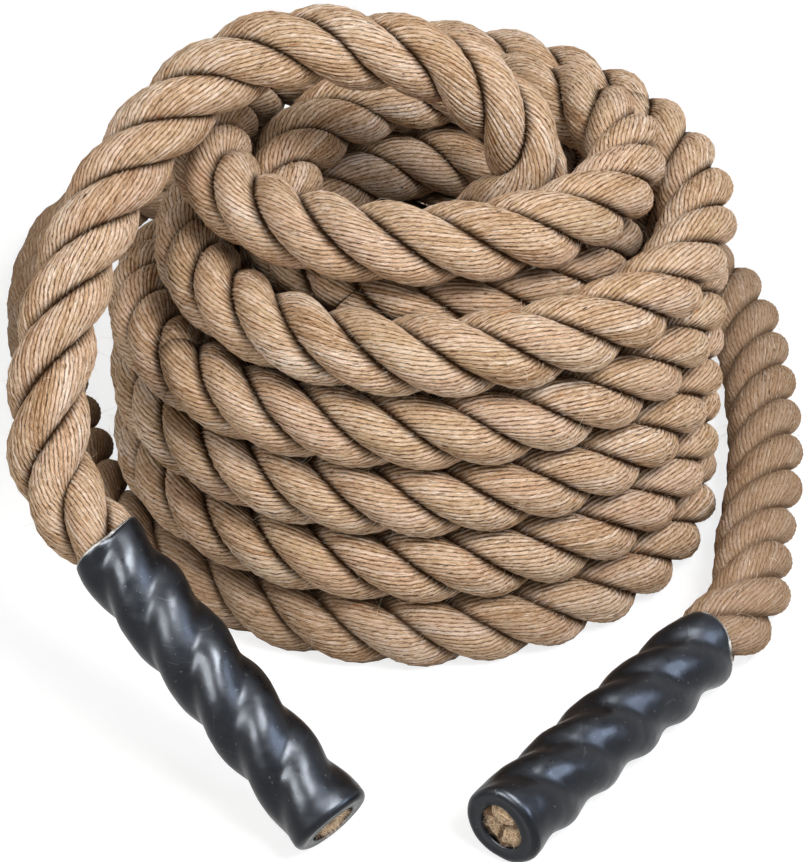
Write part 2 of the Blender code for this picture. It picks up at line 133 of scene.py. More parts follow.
# Grips
FILM_DIAMETER = 0.0376  # over the film's crowns
FILM_WALL = 0.0018
FILM_LIP = 0.0007
FILM_TIP_ROUNDING = 0.0034
FILM_LOBE_DEPTH = 0.0044  # on the outside of the film, with soft valleys
LOBE_SOFTNESS = 0.16
TIP_SWELL = 0.0004
TIP_DISH = 0.0002
TIP_CALM = 0.022
MOUTH_CALM = 0.012
TIP_CALM_SHARE = 0.62
GLUE_RINGS = (  # from the mouth inwards, and how many lips inside the film's crown
    (0.0012, 1.7), (-0.0002, 1.5), (-0.00055, 0.95), (-0.0004, 0.45), (0.0003, 0.2), (0.0012, 0.9),
)
CUT_TILTS = (0.05, -0.10, 0.12)  # how far the cut face of each strand leans outwards


# ---- the rope's line
def eased(keys, values, places):
    """Values read between the keys, smoothly and without going past any of them."""
    keys = np.asarray(keys, float)
    values = np.asarray(values, float)
    steps = np.diff(keys)
    slopes = np.diff(values) / steps
    tangents = np.zeros_like(values)
    tangents[0] = slopes[0]
    tangents[-1] = slopes[-1]
    for i in range(1, len(keys) - 1):
        if slopes[i - 1] * slopes[i] > 0:
            before = 2 * steps[i] + steps[i - 1]
            after = steps[i] + 2 * steps[i - 1]
            tangents[i] = (before + after) / (before / slopes[i - 1] + after / slopes[i])
    spans = np.clip(np.searchsorted(keys, places, side="right") - 1, 0, len(steps) - 1)
    u = (places - keys[spans]) / steps[spans]
    return ((1 + 2 * u) * (1 - u) ** 2 * values[spans] + u * u * (3 - 2 * u) * values[spans + 1]
            + u * (1 - u) ** 2 * steps[spans] * tangents[spans]
            + u * u * (u - 1) * steps[spans] * tangents[spans + 1])


def coil_keys():
    """Where the coil's middle line goes: turns, distance from the axis and height."""
    keys = [(turn, COIL_RADIUS * share, SEAT_HEIGHT) for turn, share in LEAD_SHARES]
    top_start = OUTER_TURNS - 1
    for turn in range(top_start):
        for place, radius_share, rise_share in WALL_SHARES:
            keys.append((turn + place, COIL_RADIUS * radius_share,
                         SEAT_HEIGHT + TURN_PITCH * (turn + rise_share)))
    for place, radius, height in TOP_ROUTE:
        keys.append((top_start + place, radius, height))
    column_start = ceil(keys[-1][0])
    pitch = TURN_PITCH + COLUMN_SLACK
    for turn in range(INNER_TURNS - 1):
        keys.append((column_start + turn, INNER_RADIUS, SEAT_HEIGHT + pitch * (INNER_TURNS - turn)))
    for place, radius_share, rise_share in FOOT_SHARES:
        keys.append((column_start + INNER_TURNS - 1 + place, INNER_RADIUS * radius_share,
                     SEAT_HEIGHT + pitch * rise_share))
    return keys


def coil_line(points_a_turn=144):
    keys = coil_keys()
    turns = [key[0] for key in keys]
    first = ceil(turns[0] * 24) / 24
    last = floor(turns[-1] * 24) / 24
    places = np.linspace(first, last, int((last - first) * points_a_turn) + 1)
    radii = eased(turns, [key[1] for key in keys], places)
    heights = eased(turns, [key[2] for key in keys], places)
    angles = TURN * places - pi / 2
    return np.stack([radii * np.cos(angles), radii * np.sin(angles), heights], axis=1), places


def smooth_route(points, readings=24):
    """A curve through all the points, with even speed at uneven distances."""
    points = [Vector(p) for p in points]
    ends = [points[0] * 2 - points[1]] + points + [points[-1] * 2 - points[-2]]
    line = []
    for p0, p1, p2, p3 in zip(ends, ends[1:], ends[2:], ends[3:]):
        t1 = (p1 - p0).length ** 0.5
        t2 = t1 + (p2 - p1).length ** 0.5
        t3 = t2 + (p3 - p2).length ** 0.5
        for step in range(readings):
            t = t1 + (t2 - t1) * step / readings

            def blend(one, other, low, high):
                return one * ((high - t) / (high - low)) + other * ((t - low) / (high - low))

            middle = blend(p1, p2, t1, t2)
            line.append(blend(blend(blend(p0, p1, 0, t1), middle, 0, t2),
                              blend(middle, blend(p2, p3, t2, t3), t1, t3), t1, t2))
    line.append(points[-1])
    return np.array([tuple(p) for p in line])


def grip_frames():
    """The mouth and the way of each grip; the leaning one's tip rests on the floor."""
    radius = SLEEVE_DIAMETER / 2
    floor_mouth = Vector((*FLOOR_GRIP_MOUTH, radius + COLLAR_PROUD + END_GAP))
    floor_direction = Vector((cos(FLOOR_GRIP_HEADING), sin(FLOOR_GRIP_HEADING), 0))
    leaning_mouth = Vector(LEANING_GRIP_MOUTH)
    dip = (asin((leaning_mouth.z - END_GAP) / hypot(SLEEVE_LENGTH, radius))
           - atan(radius / SLEEVE_LENGTH))
    leaning_direction = Vector((cos(LEANING_GRIP_HEADING) * cos(dip),
                                sin(LEANING_GRIP_HEADING) * cos(dip), -sin(dip)))
    return (floor_mouth, floor_direction), (leaning_mouth, leaning_direction)


def read_rows(places, along, rows):
    """Rows of three numbers, read at places between the given ones."""
    return np.stack([np.interp(places, along, rows[:, axis]) for axis in range(3)], axis=1)


def even(line, spacing):
    """The same line with its points evenly spaced, and how far along it each of them is."""
    travelled = np.concatenate(([0], np.cumsum(np.linalg.norm(np.diff(line, axis=0), axis=1))))
    count = max(2, int(round(travelled[-1] / spacing)))
    places = np.linspace(0, travelled[-1], count + 1)
    return read_rows(places, travelled, line), places


def eased_out(line, width, spacing):
    """Round off small kinks: a weighted mean over a few centimetres, ends kept."""
    reach = int(3 * width / spacing)
    weights = np.exp(-0.5 * (np.arange(-reach, reach + 1) * spacing / width) ** 2)
    weights /= weights.sum()
    head = 2 * line[0] - line[reach:0:-1]
    tail = 2 * line[-1] - line[-2:-reach - 2:-1]
    long_line = np.concatenate([head, line, tail])
    return np.stack([np.convolve(long_line[:, axis], weights, "valid") for axis in range(3)], axis=1)


class RopeLine:
    """The whole rope's middle line from the floor grip's tip to the leaning grip's tip."""

    def __init__(self):
        (floor_mouth, floor_direction), (leaning_mouth, leaning_direction) = grip_frames()
        back = COLLAR_LENGTH + 2 * END_GAP
        coil, _ = coil_line()
        start_way = Vector(coil[0] - coil[6]).normalized()
        finish_way = Vector(coil[-1] - coil[-7]).normalized()
        coil_start, coil_finish = Vector(coil[0]), Vector(coil[-1])
        floor = smooth_route(
            [floor_mouth - floor_direction * back, floor_mouth - floor_direction * (back + BEDDED_DIAMETER)]
            + [(COIL_RADIUS * x, COIL_RADIUS * y, SEAT_HEIGHT) for x, y in reversed(FLOOR_SHARES)]
            + [coil_start + start_way * BEDDED_DIAMETER, coil_start])
        arch = smooth_route(
            [coil_finish, coil_finish + finish_way * BEDDED_DIAMETER, *ARCH_ROUTE,
             leaning_mouth - leaning_direction * (back + BEDDED_DIAMETER),
             leaning_mouth - leaning_direction * back])
        floor_tip = floor_mouth + floor_direction * SLEEVE_LENGTH
        leaning_tip = leaning_mouth + leaning_direction * SLEEVE_LENGTH
        raw = np.concatenate([[floor_tip, floor_mouth], floor, coil[1:-1], arch,
                              [leaning_mouth, leaning_tip]])
        line, _ = even(raw, FINE_STEP)
        line = eased_out(line, KINK_WIDTH, FINE_STEP)
        # the rope is rounder than its bedded solid, so the lowest turns lie a little higher
        out_of_grip = np.arange(len(line)) * FINE_STEP - SLEEVE_LENGTH - 0.005
        ramp = np.clip(np.minimum(out_of_grip, out_of_grip[::-1]) / 0.06, 0, 1)
        line[:, 2] += FLOOR_LIFT * ramp * np.clip(1 - (line[:, 2] - SEAT_HEIGHT) / 0.11, 0, 1)
        line += np.array(PLACE)
        self.points, self.along = even(line, FINE_STEP)
        self.length = self.along[-1]
        self.tangents = np.gradient(self.points, axis=0)
        self.tangents /= np.linalg.norm(self.tangents, axis=1)[:, None]
        side = np.cross(self.tangents[0], (0, 0, 1))
        sides = []
        for tangent in self.tangents:
            side = side - tangent * side.dot(tangent)
            side /= np.linalg.norm(side)
            sides.append(side)
        self.sides = np.array(sides)
        self.floor_mouth_at = SLEEVE_LENGTH
        self.leaning_mouth_at = self.length - SLEEVE_LENGTH
        squeeze = np.ones_like(self.along)
        for reach in (self.along - self.floor_mouth_at, self.leaning_mouth_at - self.along):
            ramp = np.clip((reach + 0.001) / 0.016, 0, 1)
            squeeze = np.minimum(squeeze, GRIP_GIRTH + (1 - GRIP_GIRTH) * (3 * ramp ** 2 - 2 * ramp ** 3))
        self.girth = squeeze
        let_out = np.clip((self.along - SLEEVE_LENGTH) / 0.45, 0, 1)
        self.turns = self.along / LAY_LENGTH + FLOOR_GRIP_TWIST * (1 - let_out * let_out * (3 - 2 * let_out))

    def nearest(self, point, low, high):
        """How far along the line a point lies, looking between two places."""
        keep = (self.along >= low) & (self.along <= high)
        off = np.linalg.norm(self.points[keep] - np.array(point), axis=1)
        return float(self.along[keep][np.argmin(off)])


# ---- node helpers
class Term:
    """A node's output. Arithmetic on it makes further nodes; a vector times a number is scaled."""

    def __init__(self, tree, socket):
        self.tree = tree
        self.socket = socket

    def joined(self, operation, one, other):
        if self.socket.type == "VECTOR":
            return self.tree.vector("SCALE" if operation == "MULTIPLY" else operation, one, other)
        return self.tree.math(operation, one, other)

    def __rsub__(self, other):
        return self.joined("SUBTRACT", other, self)


def operator(operation):
    return lambda term, other: term.joined(operation, term, other)


for sign, operation in (("add", "ADD"), ("sub", "SUBTRACT"), ("mul", "MULTIPLY"), ("truediv", "DIVIDE"),
                        ("pow", "POWER")):
    setattr(Term, "__%s__" % sign, operator(operation))


class Made:
    """A node; its outputs are read by name or number."""

    def __init__(self, tree, node):
        self.tree = tree
        self.node = node

    def __getitem__(self, key):
        return Term(self.tree, self.node.outputs[key])


class Tree:
    """Builds a node tree; a plain number, vector or colour goes on the socket, a term is linked."""

    def __init__(self, tree, owner=None):
        self.tree = tree
        self.owner = owner

    def give(self, socket, value):
        if isinstance(value, Term):
            self.tree.links.new(value.socket, socket)
        else:
            socket.default_value = (*value, 1) if socket.type == "RGBA" else value

    def add(self, kind, inputs=(), **settings):
        node = self.tree.nodes.new(kind)
        for name, value in settings.items():
            setattr(node, name, value)
        for key, value in (inputs.items() if isinstance(inputs, dict) else enumerate(inputs)):
            self.give(node.inputs[key], value)
        return Made(self, node)

    def node(self, kind, inputs=(), **settings):
        return self.add("ShaderNode" + kind, inputs, **settings)

    def geo(self, kind, inputs=(), **settings):
        return self.add("GeometryNode" + kind, inputs, **settings)

    def math(self, operation, *values):
        return self.node("Math", values, operation=operation)[0]

    def vector(self, operation, *values):
        keys = (0, "Scale") if operation == "SCALE" else (0, 1)
        made = self.node("VectorMath", dict(zip(keys, values)), operation=operation)
        return made["Value" if operation in ("DOT_PRODUCT", "LENGTH") else "Vector"]

    def xyz(self, x, y, z):
        return self.node("CombineXYZ", [x, y, z])[0]

    def split(self, vector):
        return self.node("SeparateXYZ", [vector])

    def noise(self, place, scale=1.0, detail=2.0, rough=0.5):
        return self.node("TexNoise", {"Vector": place, "Scale": scale, "Detail": detail,
                                      "Roughness": rough})[0]

    def between(self, value, low, high, out_low=0.0, out_high=1.0):
        """From out_low to out_high while the value goes from low to high."""
        return self.node("MapRange", {"Value": value, "From Min": low, "From Max": high,
                                      "To Min": out_low, "To Max": out_high})[0]

    def mix(self, amount, colour, other):
        return self.node("Mix", {0: amount, 6: colour, 7: other}, data_type="RGBA")[2]

    def ramp(self, value, *stops):
        """Colours at rising places between 0 and 1."""
        made = self.node("ValToRGB", [value])
        elements = made.node.color_ramp.elements
        for place, _ in stops[1:-1]:
            elements.new(place)
        for element, (place, colour) in zip(elements, stops):
            element.position = place
            element.color = (*colour, 1)
        return made[0]

    def painted(self, name):
        """A value that the mesh carries, read in a material."""
        return self.node("Attribute", attribute_name=name)["Fac"]

    def carried(self, name, kind="FLOAT"):
        """A value that the mesh carries, read in a geometry tree."""
        return self.geo("InputNamedAttribute", {"Name": name}, data_type=kind)["Attribute"]

    def bump(self, height, strength, distance):
        return self.node("Bump", {"Strength": strength, "Distance": distance, "Height": height})[0]

    def shade(self, inputs):
        for name, value in inputs.items():
            self.give(self.tree.nodes["Principled BSDF"].inputs[name], value)
        return self.owner

    def two_faced(self, lighting, shown):
        """One shader for the light on things, another for what the camera, gloss or glass shows."""
        path = self.node("LightPath")
        seen = self.math("MAXIMUM", path["Is Camera Ray"], self.math(
            "MAXIMUM", path["Is Glossy Ray"], path["Is Transmission Ray"]))
        return self.node("MixShader", [seen, lighting, shown])[0]

    def dressed(self, geometry, material):
        """Plain geometry with its material on, as each geometry tree ends."""
        whole = self.geo("RealizeInstances", {"Geometry": geometry})[0]
        return self.geo("SetMaterial", {"Geometry": whole, "Material": material})[0]


def geometry_tree(name, counts, sizes):
    """A geometry tree with named inputs: its builder, its inputs, and the socket of its result."""
    tree = bpy.data.node_groups.new(name, "GeometryNodeTree")
    tree.interface.new_socket("Geometry", in_out="OUTPUT", socket_type="NodeSocketGeometry")
    for kind, labels in (("Geometry", ["Geometry"]), ("Int", counts), ("Float", sizes),
                         ("Material", ["Material"])):
        for label in labels:
            tree.interface.new_socket(label, in_out="INPUT", socket_type="NodeSocket" + kind)
    t = Tree(tree)
    return t, t.add("NodeGroupInput"), tree.nodes.new("NodeGroupOutput").inputs["Geometry"]


def new_object(name, data):
    piece = bpy.data.objects.new(name, data)
    bpy.context.scene.collection.objects.link(piece)
    return piece


def hand_in(piece, slot, *nodes):
    """What each visible piece rides on, and the parts it stands for, which are hidden; the slot is not used.
    """
    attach(piece, "root")
    if nodes:
        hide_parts(*nodes)


def run_tree(base, tree, values, name):
    """Run a geometry tree on an object and keep the plain mesh under the name."""
    modifier = base.modifiers.new("made", "NODES")
    modifier.node_group = tree
    for item in tree.interface.items_tree:
        if item.in_out == "INPUT" and item.name in values:
            modifier[item.identifier] = values[item.name]
    bpy.context.view_layer.update()
    depsgraph = bpy.context.evaluated_depsgraph_get()
    mesh = bpy.data.meshes.new_from_object(base.evaluated_get(depsgraph), preserve_all_data_layers=True,
                                           depsgraph=depsgraph)
    mesh.name = name
    bpy.data.objects.remove(base, do_unlink=True)
    return new_object(name, mesh)


# ---- strands
STRAND_COUNTS = ("Stations", "Yarns", "Points Per Yarn")
STRAND_SIZES = ("Start", "Finish", "Strand Offset", "Strand Radius", "Lay Length", "Yarn Depth",
                "Yarn Turns", "Floor Height")


def strand_tree():
    """One strand of the laid rope, wound round the centre line that comes in as a mesh of edges."""
    t, given, result = geometry_tree(
        "one_strand", STRAND_COUNTS, ("Phase", "Strand Number", *STRAND_SIZES))
    stations, strand = given["Stations"], given["Strand Number"]
    line = t.geo("MeshToCurve", {"Mesh": given["Geometry"]})["Curve"]
    # a row of the grid is a ring of the strand; the first and last rows shrink to its two poles
    grid = t.geo("MeshGrid", {
        "Size X": 1, "Size Y": 1, "Vertices X": stations + 2,
        "Vertices Y": given["Yarns"] * given["Points Per Yarn"] + 1.0})["Mesh"]
    place = t.split(t.geo("InputPosition")[0])
    row = t.math("ROUND", (place[0] + 0.5) * (stations + 1))
    round_share = place[1] + 0.5
    station = t.node("Clamp", [row - 1, 0, stations - 1])[0] / (stations - 1)
    is_pole = t.math("MAXIMUM", t.math("LESS_THAN", row, 0.5),
                     t.math("GREATER_THAN", row, stations + 0.5))
    along = given["Start"] + station * (given["Finish"] - given["Start"])

    def sampled(name, kind="FLOAT"):
        return t.geo("SampleCurve", {
            "Curves": line, "Factor": station, "Value": t.carried(name, kind)},
            mode="FACTOR", data_type=kind, use_all_curves=False)

    read = sampled("side", "FLOAT_VECTOR")
    centre, tangent, side = read["Position"], read["Tangent"], read["Value"]
    girth = sampled("girth")["Value"]
    side = t.vector("NORMALIZE", side - tangent * t.vector("DOT_PRODUCT", side, tangent))
    up = t.vector("CROSS_PRODUCT", tangent, side)
    angle = (sampled("turns")["Value"] + given["Phase"]) * TURN
    cosine, sine = t.math("COSINE", angle), t.math("SINE", angle)
    outward = side * cosine + up * sine
    around = up * cosine - side * sine
    # slow unevenness of each strand
    slow = t.node("TexNoise", {"W": along * 21 + strand * 37, "Scale": 1, "Detail": 1.0},
                  noise_dimensions="1D")[0]
    uneven = (slow - 0.5) * STRAND_UNEVENNESS + 1
    offset = given["Strand Offset"] * girth
    middle = centre + outward * offset
    lean = offset * TURN / given["Lay Length"]
    strand_way = t.vector("NORMALIZE", tangent + around * lean)
    across = t.vector("NORMALIZE", t.vector("CROSS_PRODUCT", strand_way, outward))
    # the yarns run the other way round in the strand, so they come out nearly along the rope
    yarn_angle = (round_share - along * given["Yarn Turns"]) * TURN
    swell = t.math("ABSOLUTE", t.math("SINE", round_share * (given["Yarns"] * pi)))
    yarn_number = t.math("FLOOR", round_share * given["Yarns"])
    yarn_noise = t.noise(t.xyz(along * 16, yarn_number * 7.31, strand * 11.7), detail=1)
    yarn_rise = swell * (yarn_noise - 0.45) * YARN_UNEVENNESS
    groove = (1 - swell) * given["Yarn Depth"]
    radius = given["Strand Radius"] * girth * uneven + yarn_rise - groove
    radius = radius * (1 - is_pole)
    reach = outward * t.math("COSINE", yarn_angle) + across * t.math("SINE", yarn_angle)
    # the rope lies on the floor and is pressed a little flat there
    spot = t.split(middle + reach * radius)
    spot = t.xyz(spot[0], spot[1], t.math("SMOOTH_MAX", spot[2], given["Floor Height"], FLOOR_SOFTNESS))
    crown = t.vector("LENGTH", spot - centre) / ((given["Strand Offset"] + given["Strand Radius"]) * girth)
    surface = grid
    for name, value, kind, domain in (
            ("UVMap", t.xyz(along, round_share * UV_ROUND, strand), "FLOAT2", "CORNER"),
            ("crown", crown, "FLOAT", "POINT"), ("strand", strand, "FLOAT", "POINT")):
        surface = t.geo("StoreNamedAttribute", {
            "Geometry": surface, "Name": name, "Value": value}, data_type=kind, domain=domain)[0]
    surface = t.geo("SetPosition", {"Geometry": surface, "Position": spot})[0]
    t.give(result, t.geo("MergeByDistance", {"Geometry": surface, "Distance": 0.00002})[0])
    return t.tree


def rope_tree():
    """All the strands of a length of rope."""
    one = strand_tree()
    t, given, result = geometry_tree("laid_strands", STRAND_COUNTS, STRAND_SIZES)
    passed = {label: given[label] for label in ("Geometry", "Material", *STRAND_COUNTS, *STRAND_SIZES)}
    joined = t.geo("JoinGeometry")
    for number in range(STRANDS):
        strand = t.geo("Group", {
            **passed, "Phase": number / STRANDS, "Strand Number": float(number)}, node_tree=one)
        t.give(joined.node.inputs[0], strand["Geometry"])
    smooth = t.geo("SetShadeSmooth", {"Geometry": joined[0]})[0]
    t.give(result, t.dressed(smooth, given["Material"]))
    return t.tree


def centre_line_mesh(line, start, finish):
    """The line between two places as a mesh of edges that carries the lay with it."""
    count = max(3, int((finish - start) / 0.003) + 1)
    places = np.linspace(start, finish, count)
    points = read_rows(places, line.along, line.points)
    mesh = bpy.data.meshes.new("centre_line")
    mesh.from_pydata(points.tolist(), [(i, i + 1) for i in range(count - 1)], [])
    sides = read_rows(places, line.along, line.sides).astype(np.float32)
    mesh.attributes.new("side", "FLOAT_VECTOR", "POINT").data.foreach_set("vector", sides.ravel())
    for name, values in (("turns", line.turns), ("girth", line.girth)):
        read = np.interp(places, line.along, values).astype(np.float32)
        mesh.attributes.new(name, "FLOAT", "POINT").data.foreach_set("value", read)
    return new_object("centre_line", mesh), points


def add_rope_length(name, line, tree, start, finish, material, nodes, coarse):
    station, per_yarn = (HIDDEN_STATION, 2) if coarse else (STATION, POINTS_PER_YARN)
    base, path = centre_line_mesh(line, start, finish)
    piece = run_tree(base, tree, {
        "Stations": max(8, int(round((finish - start) / station))), "Start": start, "Finish": finish,
        "Strand Offset": STRAND_OFFSET, "Strand Radius": STRAND_RADIUS, "Lay Length": LAY_LENGTH,
        "Yarns": YARNS, "Points Per Yarn": per_yarn, "Yarn Depth": YARN_DEPTH,
        "Yarn Turns": YARN_TURNS_PER_METRE, "Floor Height": LOWEST_ROPE,
        "Material": material}, name)
    hand_in(piece, "natural_fibre_rope", *nodes)
    finish - start
    return piece


# ---- grips
class Grip:
    """One end of the rope: its mouth, the way it points, and how the strands stand in it."""

    def __init__(self, name, line, mouth, direction, mouth_at, way):
        self.name = name
        self.line = line
        self.mouth = np.array(mouth + PLACE)
        self.direction = np.array(direction)
        self.mouth_at = mouth_at
        self.way = way
        self.seed = Vector((5.0 * way, 3.0, 11.0 - way))

    def axes(self, distance):
        """Two vectors across the grip, the first through a strand's crown, turning with the lay."""
        place = self.mouth_at + self.way * distance
        side = read_rows([place], self.line.along, self.line.sides)[0]
        side -= self.direction * side.dot(self.direction)
        side /= np.linalg.norm(side)
        up = np.cross(self.direction * self.way, side)
        phase = TURN * np.interp(place, self.line.along, self.line.turns)
        outward = side * cos(phase) + up * sin(phase)
        return outward, np.cross(self.direction * self.way, outward)

    def mouth_slant(self, angle):
        """The film was cut a little askew at the mouth."""
        return 0.0016 * cos(angle + 1.9 + self.way) + 0.0005 * cos(STRANDS * angle)

    def film_wave(self, point):
        """The slow unevenness that the film and the glue under it share."""
        return uneven(point, self.seed, 0.017, 0.00075)


def angles(sides):
    return [TURN * side / sides for side in range(sides)]


def skin_of_rings(name, rings, material):
    """A skin of rings of points, all with the same number, the last joined to the first."""
    shape = bmesh.new()
    loops = [[shape.verts.new(point) for point in ring] for ring in rings]
    count = len(rings[0])
    for near, far in zip(loops, loops[1:] + loops[:1]):
        for i in range(count):
            shape.faces.new((near[i], near[(i + 1) % count], far[(i + 1) % count], far[i]))
    return finished_shape(name, shape, material)


def finished_shape(name, shape, material):
    bmesh.ops.recalc_face_normals(shape, faces=shape.faces)
    mesh = bpy.data.meshes.new(name)
    shape.to_mesh(mesh)
    shape.free()
    mesh.shade_smooth()
    mesh.materials.append(material)
    piece = new_object(name, mesh)
    above_floor(piece)
    return piece


def lobe(angle):
    """0 in the valley between two strands and 1 on a crown; the film bridges the valley softly."""
    return sqrt(LOBE_SOFTNESS + (1 - LOBE_SOFTNESS) * (0.5 + 0.5 * cos(STRANDS * angle)))


def uneven(place, seed, size, reach):
    return noise.noise(Vector(place) / size + seed) * reach


def film_profile():
    """Rings of the film, outside from the mouth to the hole and back inside: place, radius, lobe depth."""
    crown, hole, lobes = FILM_DIAMETER / 2, TIP_HOLE_DIAMETER / 2, FILM_LOBE_DEPTH
    lip, tip, rounding = FILM_LIP, SLEEVE_LENGTH, FILM_TIP_ROUNDING
    straight = tip - rounding
    rings = [(0.0, crown - 2 * lip, lobes), (0.0, crown - 1.4 * lip, lobes),
             (0.3 * lip, crown - 0.35 * lip, lobes), (lip, crown, lobes)]
    steps = 132
    for step in range(1, steps + 1):
        along = lip + (straight - lip) * step / steps
        fade = min(1.0, max(0.0, 1 - (straight - along) / TIP_CALM))
        fade = fade * fade * (3 - 2 * fade)
        mouth_fade = max(0.0, 1 - along / MOUTH_CALM)
        depth = lobes * (1 - TIP_CALM_SHARE * fade) * (1 - 0.25 * mouth_fade ** 2)
        rings.append((along, crown + TIP_SWELL * fade, depth))
    # the rounded tip
    depth = lobes * (1 - TIP_CALM_SHARE)
    for step in range(1, 10):
        turn = pi / 2 * step / 9
        rings.append((straight + rounding * sin(turn),
                      crown + TIP_SWELL - rounding * (1 - cos(turn)), depth * (1 - step / 18)))
    # the flat of the tip, the lip of its hole, and the inside
    face = crown + TIP_SWELL - rounding
    for step in range(1, 8):
        share = step / 8
        rings.append((tip - TIP_DISH * sin(pi * share), face + (hole + lip - face) * share,
                      depth * 0.5 * (1 - share)))
    rings += [(tip, hole + lip, 0.0), (tip - 0.25 * lip, hole + 0.3 * lip, 0.0), (tip - lip, hole, 0.0),
              (tip - FILM_WALL, hole, 0.0), (tip - FILM_WALL - 0.2 * lip, hole + 0.5 * lip, 0.0),
              (tip - FILM_WALL, crown - rounding, depth)]
    return rings + [(straight * (1 - step / 12), crown - 1.9 * lip, lobes) for step in range(13)]


def add_film(grip, material):
    rings = []
    for along, radius, depth in film_profile():
        outward, around = grip.axes(along)
        ring = []
        near_hole = radius < TIP_HOLE_DIAMETER / 2 + 1.5 * FILM_LIP
        for angle in angles(108):
            reach = radius - depth * (1 - lobe(angle))
            way = outward * cos(angle) + around * sin(angle)
            if near_hole:
                reach *= (1 + 0.045 * cos(2 * angle + 0.7 * grip.way)
                          + 0.035 * cos(STRANDS * angle + 0.4))
            point = grip.mouth + grip.direction * along + way * reach
            bump = grip.film_wave(point) + uneven(point, grip.seed * 2, 0.006, 0.00016)
            back = grip.mouth_slant(angle) * max(0.0, 1 - along / 0.02) ** 2
            ring.append(point + way * bump * (0.35 if near_hole else 1.0) - grip.direction * back)
        rings.append(ring)
    film = skin_of_rings(grip.name + "_grip_film", rings, material)
    hand_in(film, "shrunk_film", grip.name + "_grip_sleeve")


def above_floor(piece, least=0.0002):
    for vertex in piece.data.vertices:
        if vertex.co.z < least:
            vertex.co.z = least


def add_glue_rim(grip, material):
    """The thin pale edge of hardened lining, squeezed out unevenly between film and rope."""
    rings = []
    outward, around = grip.axes(0.0)
    for along, inset in GLUE_RINGS:
        ring = []
        for angle in angles(144):
            way = outward * cos(angle) + around * sin(angle)
            reach = FILM_DIAMETER / 2 - inset * FILM_LIP - FILM_LOBE_DEPTH * 0.75 * (1 - lobe(angle))
            point = grip.mouth + way * reach
            squeezed = 0.5 + 1.1 * abs(noise.noise(Vector(point) / 0.004 + grip.seed)) if along < 0 else 1
            bump = grip.film_wave(point) + uneven(point, grip.seed * 3, 0.0018, 0.0002)
            ring.append(point + way * bump + grip.direction * (along * squeezed - grip.mouth_slant(angle)))
        rings.append(ring)
    rim = skin_of_rings(grip.name + "_glue_rim", rings, material)
    hand_in(rim, "glue_lining", grip.name + "_glue_collar")


def cut_height(x, y, seed, radius, centres):
    """How far the cut face stands out at a spot, and how open to the light it is there, 0 to 1: the second
    is painted shade.
    """
    gaps = [hypot(x - cx, y - cy) for cx, cy in centres]
    nearest = min(range(STRANDS), key=lambda k: gaps[k])
    others = min(gaps[k] for k in range(STRANDS) if k != nearest)
    seam = min(1.0, (others - gaps[nearest]) / 0.0036)
    seam = seam * (2 - seam)
    warp = Vector((x, y, 0.0)) + noise.noise_vector(Vector((x, y, 0.02)) / 0.0016 + seed) * 0.0006
    cell = noise.voronoi((warp + Vector((0, 0, nearest * 0.01))) / 0.0015 + seed)[0]
    tuft = min(1.0, (cell[1] - cell[0]) * 1.5)
    rough = uneven((x, y, 0), seed, 0.0007, 0.35) + uneven((x, y, 0.01), seed, 0.0024, 0.8)
    tilt = (CUT_TILTS[nearest] * (x * centres[nearest][0] + y * centres[nearest][1])
            / (STRAND_OFFSET * GRIP_GIRTH))
    rise = -0.0040 * (1 - seam) + 0.00028 * tuft * seam + 0.0008 * rough * seam + tilt
    hole, off = TIP_HOLE_DIAMETER / 2, hypot(x, y)
    rim_shade = min(1.0, max(0.0, (hole + 0.0006 - off) / 0.0020))
    forward = 0.0017 * min(1.0, max(0.0, (hole - 0.0008 - off) / 0.0020))
    # the second value is painted shade: darker in the seams between strands, at the edges of tufts and near
    # the hole's rim
    return (forward + rise - 0.0009 * (gaps[nearest] / radius) ** 2 - 0.0008 * (1 - rim_shade) ** 2,
            seam ** 1.5 * (0.68 + 0.32 * tuft) * (0.6 + 0.4 * rim_shade))


